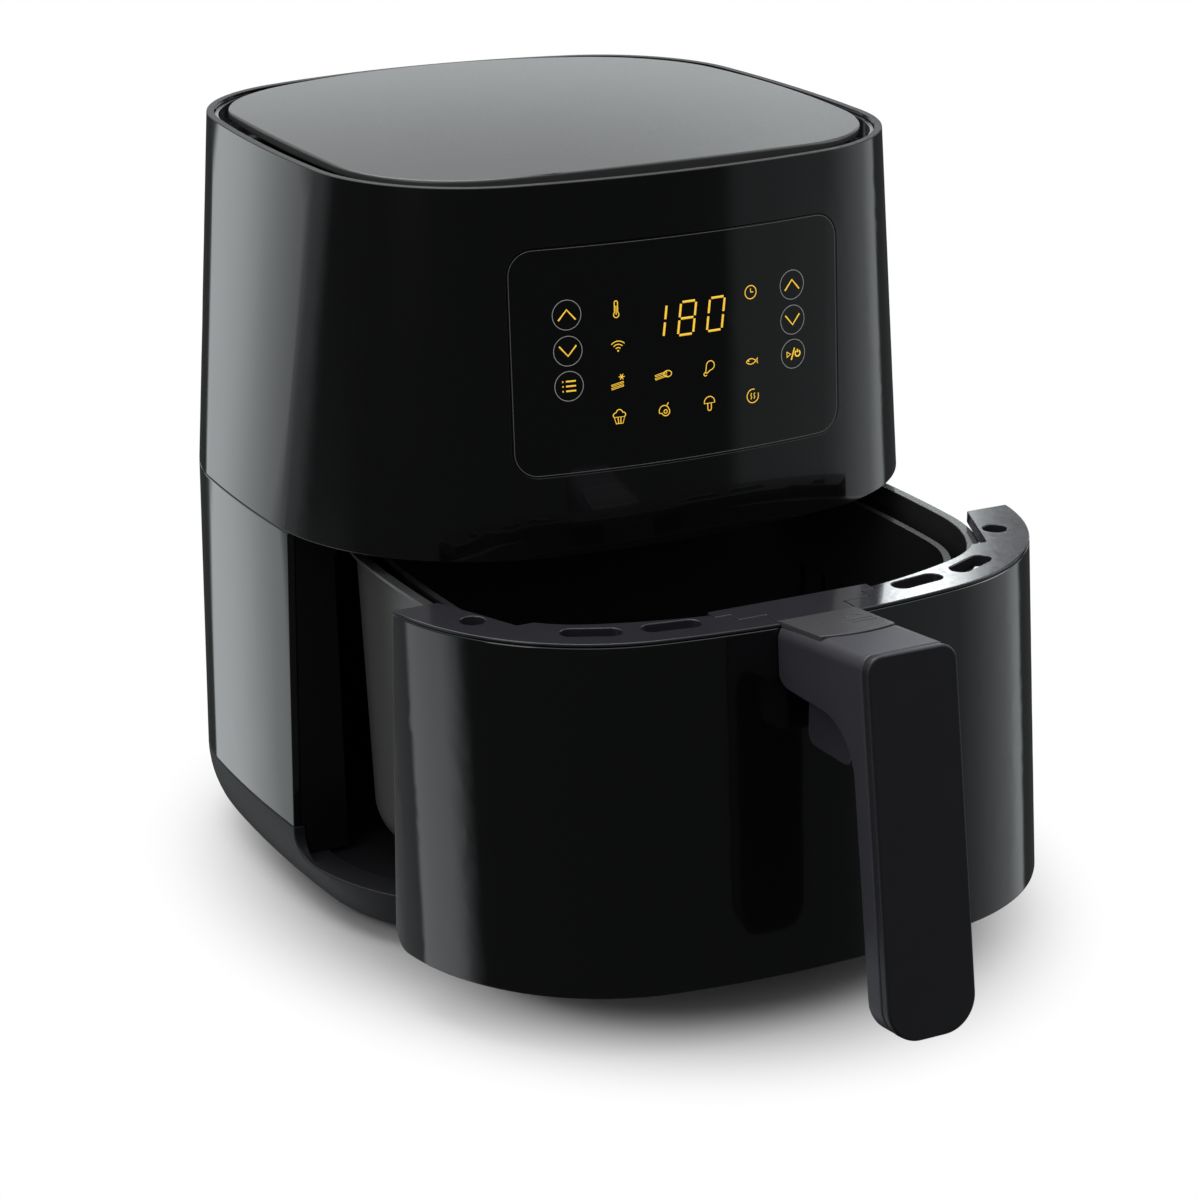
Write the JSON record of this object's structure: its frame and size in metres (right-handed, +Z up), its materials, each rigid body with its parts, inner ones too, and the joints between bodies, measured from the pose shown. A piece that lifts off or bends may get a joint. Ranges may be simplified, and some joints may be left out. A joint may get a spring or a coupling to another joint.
{
  "type": "air fryer",
  "caption": "Countertop drawer air fryer with a digital touch panel, hot-air fan unit, and a sliding pan and basket on a handle with a push-button basket release.",
  "frame": {"origin": "centre of the bounding box on the table plane, with the drawer pulled out 93 mm as in the picture", "axes": "+Z up, the drawer pulls out towards -Y, +X to the right seen from the front"},
  "size_m": [0.2658, 0.4141, 0.2962],
  "materials": {
    "gloss_black": "high gloss black moulding",
    "panel_black": "clear-coated black touch panel",
    "lid_grey": "satin grey lid plate",
    "base_black": "fine matt black",
    "rim_black": "satin black",
    "handle_black": "satin black",
    "foot_rubber": "moulded rubber",
    "coated_steel": "dark non-stick coating",
    "bare_steel": "bare sheet steel",
    "fastener_steel": "plated steel",
    "liner_metal": "aluminised sheet",
    "element_steel": "oxidised sheath",
    "board_green": "circuit board",
    "guide_white": "white light guide",
    "contact_grey": "conductive rubber",
    "bush_white": "ceramic",
    "bronze": "sintered bronze"
  },
  "bodies": {
    "housing": {"base": "base_black", "rubber_feet": "foot_rubber", "glide_strips": "rim_black", "casing_screws": "fastener_steel", "lower_casing": "gloss_black", "cord_gland": "base_black", "drawer_well": "rim_black", "upper_casing": "gloss_black", "control_panel": "panel_black", "outlet_grille": "rim_black", "inlet_ring": "rim_black", "top_cover": "lid_grey", "light_guide": "guide_white", "touch_contacts": "contact_grey", "control_board": "board_green", "display_module": "rim_black", "power_board": "board_green", "drawer_switch": "rim_black", "inner_deck": "rim_black", "chamber_liner": "liner_metal", "exhaust_duct": "bare_steel", "heating_element": "element_steel", "element_bushings": "bush_white", "element_clips": "bare_steel", "element_guard": "bare_steel", "temperature_probe": "bare_steel", "thermal_fuse": "bush_white", "heat_shield": "liner_metal", "motor_bracket": "bare_steel", "bracket_screws": "fastener_steel", "motor_can": "bare_steel", "motor_bearings": "bronze"},
    "rotor": {"motor_shaft": "fastener_steel", "motor_rotor": "bare_steel", "convection_fan": "liner_metal", "fan_nut": "fastener_steel", "cooling_fan": "rim_black"},
    "drawer": {"pan": "coated_steel", "basket": "coated_steel", "drawer_front": "gloss_black", "drawer_rim": "rim_black", "rim_screws": "fastener_steel", "bracket_cover": "rim_black", "handle_bracket": "bare_steel", "bracket_rivets": "fastener_steel", "handle_plate": "handle_black", "handle_grip": "handle_black", "handle_screws": "fastener_steel", "button_pin": "fastener_steel", "latch_pin": "fastener_steel", "button_spring": "bare_steel"},
    "button": {"release_button": "handle_black"},
    "latch": {"latch_lever": "rim_black"}
  },
  "joints": [
    {"name": "drawer_slide", "type": "slide", "parent": "housing", "child": "drawer", "axis": [0, -1, 0], "range_m": [-0.093, 0.052]},
    {"name": "fan_spin", "type": "hinge", "parent": "housing", "child": "rotor", "pos_m": [0, 0.08685, 0.2], "axis": [0, 0, 1], "continuous": true},
    {"name": "release_button_press", "type": "hinge", "parent": "drawer", "child": "button", "pos_m": [0, -0.1301, 0.1452], "axis": [1, 0, 0], "range_deg": [0, 5], "stiffness_Nm_per_rad": 0.5, "springref_deg": -6.88, "deforming": ["button_spring"]},
    {"name": "latch_release", "type": "hinge", "parent": "drawer", "child": "latch", "pos_m": [0, -0.1346, 0.1388], "axis": [1, 0, 0], "range_deg": [0, 8]}
  ],
  "couplings": [
    {"joint": "latch_release", "follows": "release_button_press", "ratio": 1.6}
  ]
}
